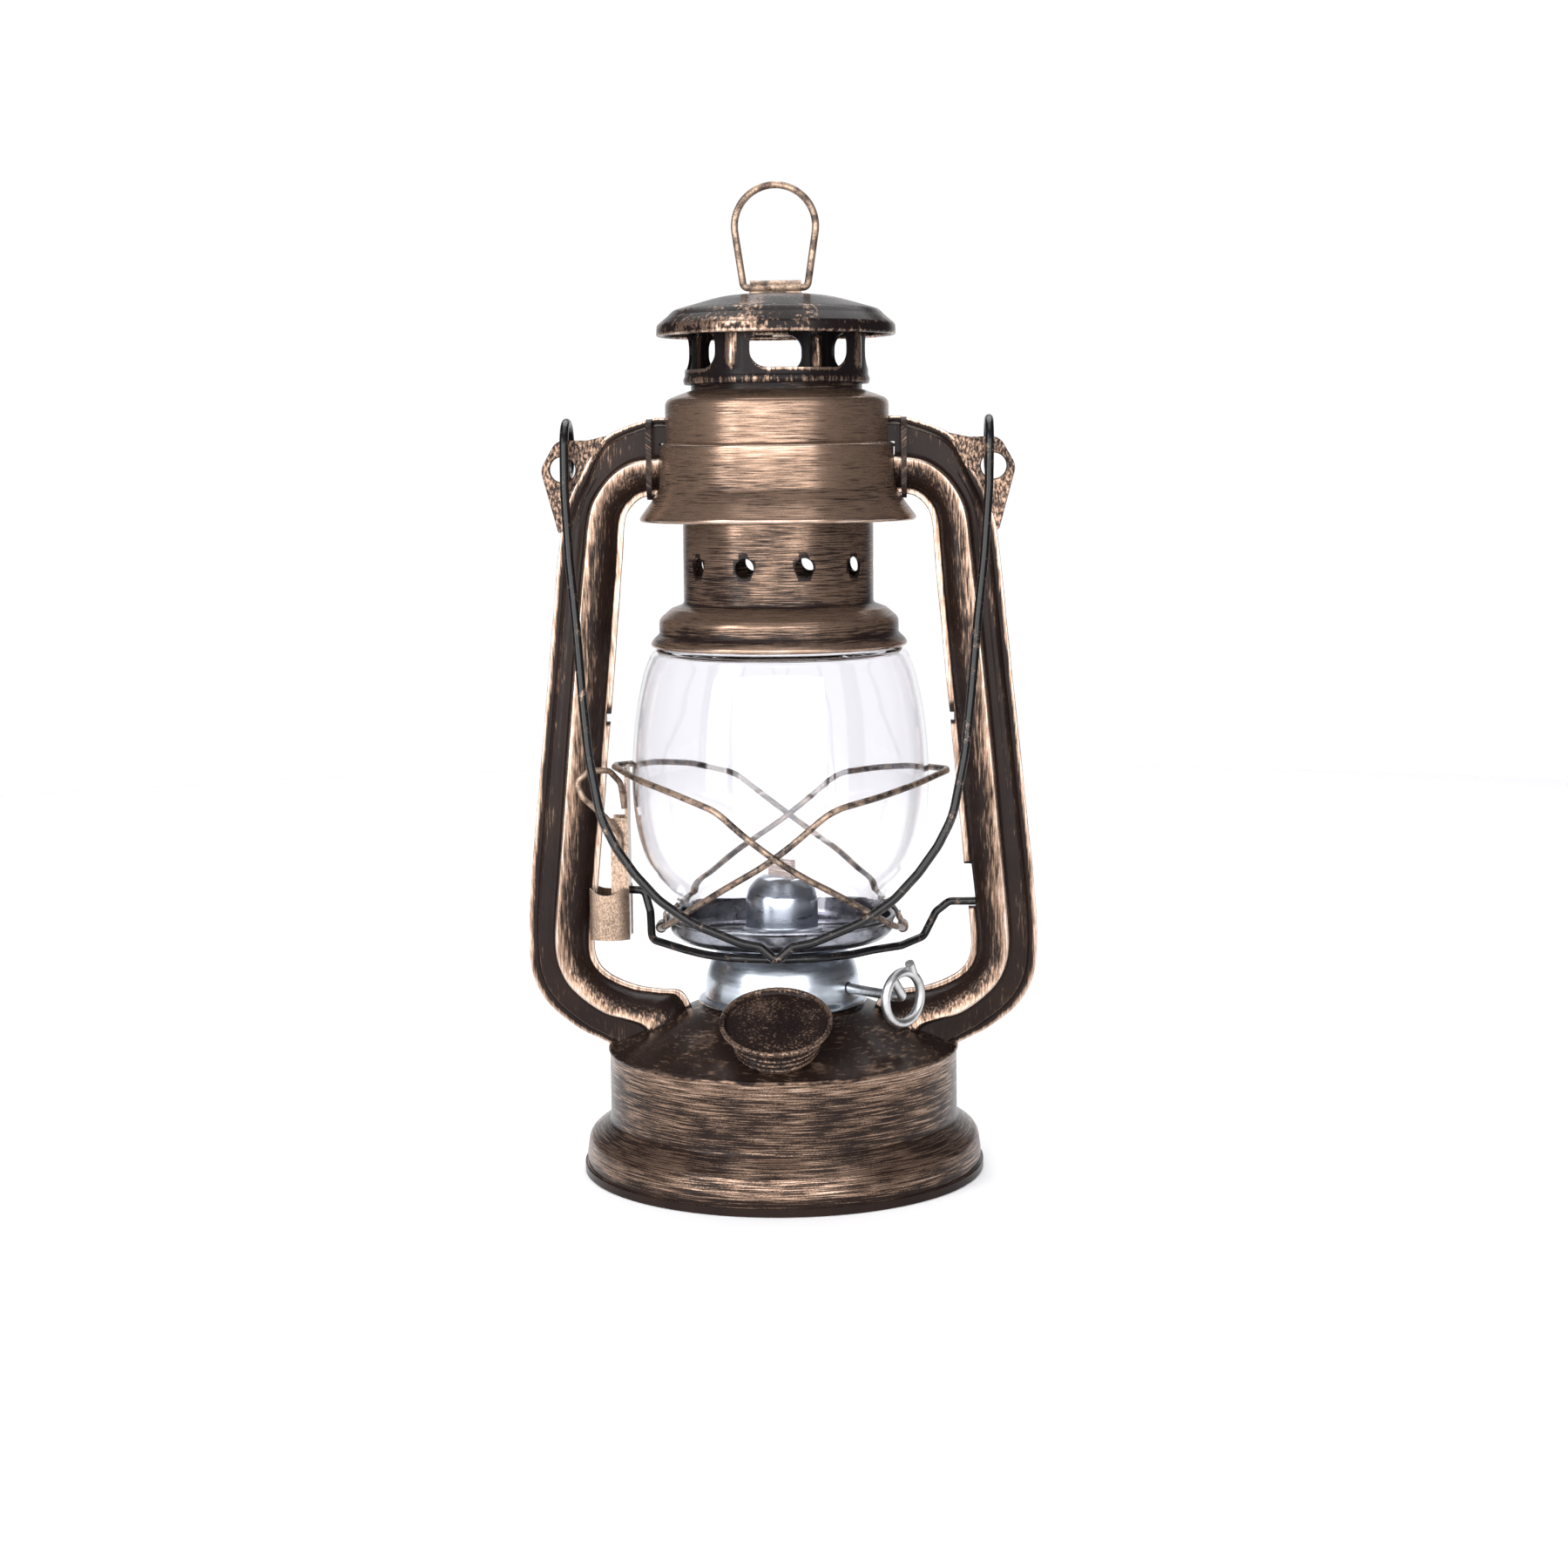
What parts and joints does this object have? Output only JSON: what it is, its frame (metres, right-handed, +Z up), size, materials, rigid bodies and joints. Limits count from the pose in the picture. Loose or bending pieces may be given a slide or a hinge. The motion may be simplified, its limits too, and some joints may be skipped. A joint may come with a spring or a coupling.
{
  "type": "tubular kerosene lantern",
  "caption": "Tubular kerosene lantern with fuel tank, flat-wick burner, lifting glass globe in wire guards, sliding chimney, hooded side tubes and carrying bail.",
  "frame": {"origin": "centre of the base, on the surface the lantern stands on", "axes": "+Z up, +X towards the wick knob side, -Y towards the front with the filler cap"},
  "size_m": [0.1538, 0.121, 0.2937],
  "materials": {
    "antiqued_sheet": "near-black paint dry-brushed with copper in fine level streaks",
    "dark_sheet": "dark brown-black paint with bronze wear on the edges",
    "bronzed_wire": "bronze over black, worn",
    "black_wire": "glossy black enamel",
    "zinc_sheet": "bright zinc plate, slightly brushed",
    "knob_steel": "drawn wire, light grey",
    "clear_glass": "clear blown glass",
    "wick_cotton": "flat woven cotton",
    "seal_rubber": "matt"
  },
  "bodies": {
    "frame": {"tank_bottom": "antiqued_sheet", "tank_wall": "antiqued_sheet", "tank_top": "dark_sheet", "filler_neck": "dark_sheet", "burner_collar": "zinc_sheet", "burner_body": "zinc_sheet", "draft_plate": "zinc_sheet", "wick_tube": "zinc_sheet", "burner_dome": "zinc_sheet", "left_tube_front": "antiqued_sheet", "left_tube_back": "antiqued_sheet", "right_tube_front": "antiqued_sheet", "right_tube_back": "antiqued_sheet", "left_tube_collar": "dark_sheet", "right_tube_collar": "dark_sheet", "hood_body": "antiqued_sheet", "hood_top": "antiqued_sheet"},
    "globe_carriage": {"globe_plate": "antiqued_sheet", "plate_tabs": "antiqued_sheet", "globe": "clear_glass", "guard_wire_left": "bronzed_wire", "guard_wire_right": "bronzed_wire", "lift_wire": "black_wire", "lift_handle": "bronzed_wire", "finger_loop": "bronzed_wire"},
    "chimney": {"globe_bell": "antiqued_sheet", "inner_chimney": "antiqued_sheet", "chimney_crown": "antiqued_sheet", "chimney_cap": "antiqued_sheet", "ring_strap": "bronzed_wire"},
    "top_ring": {"top_ring": "bronzed_wire"},
    "bail": {"bail": "black_wire"},
    "filler_seal": {"filler_gasket": "seal_rubber"},
    "filler_cap": {"filler_cap": "dark_sheet"},
    "wick_drive": {"wick_shaft": "knob_steel", "wick_wheels": "zinc_sheet", "wick_knob": "knob_steel"},
    "wick": {"wick": "wick_cotton"}
  },
  "joints": [
    {"name": "globe_lift", "type": "slide", "parent": "frame", "child": "globe_carriage", "axis": [0, 0, 1], "range_m": [0, 0.01]},
    {"name": "chimney_slide", "type": "slide", "parent": "globe_carriage", "child": "chimney", "axis": [0, 0, 1], "range_m": [0, 0.02]},
    {"name": "ring_hinge", "type": "hinge", "parent": "chimney", "child": "top_ring", "pos_m": [0, 0, 0.2631], "axis": [1, 0, 0], "range_deg": [-90, 90]},
    {"name": "bail_hinge", "type": "hinge", "parent": "frame", "child": "bail", "pos_m": [0, 0, 0.2164], "axis": [1, 0, 0], "range_deg": [-256, 0]},
    {"name": "filler_lift", "type": "slide", "parent": "frame", "child": "filler_seal", "axis": [0, -0.4191, 0.908], "range_m": [0, 0.0075]},
    {"name": "filler_turn", "type": "hinge", "parent": "filler_seal", "child": "filler_cap", "pos_m": [0, -0.04, 0.04307], "axis": [0, -0.4191, 0.908], "range_deg": [0, 900]},
    {"name": "knob_turn", "type": "hinge", "parent": "frame", "child": "wick_drive", "pos_m": [0.00335, 0.00372, 0.0563], "axis": [0.7431, -0.6691, 0], "range_deg": [-57, 143]},
    {"name": "wick_slide", "type": "slide", "parent": "frame", "child": "wick", "axis": [0, 0, 1], "range_m": [-0.01, 0.004]}
  ],
  "couplings": [
    {"joint": "filler_lift", "follows": "filler_turn", "m_per_rad": 0.00047746},
    {"joint": "wick_slide", "follows": "knob_turn", "m_per_rad": -0.004}
  ]
}
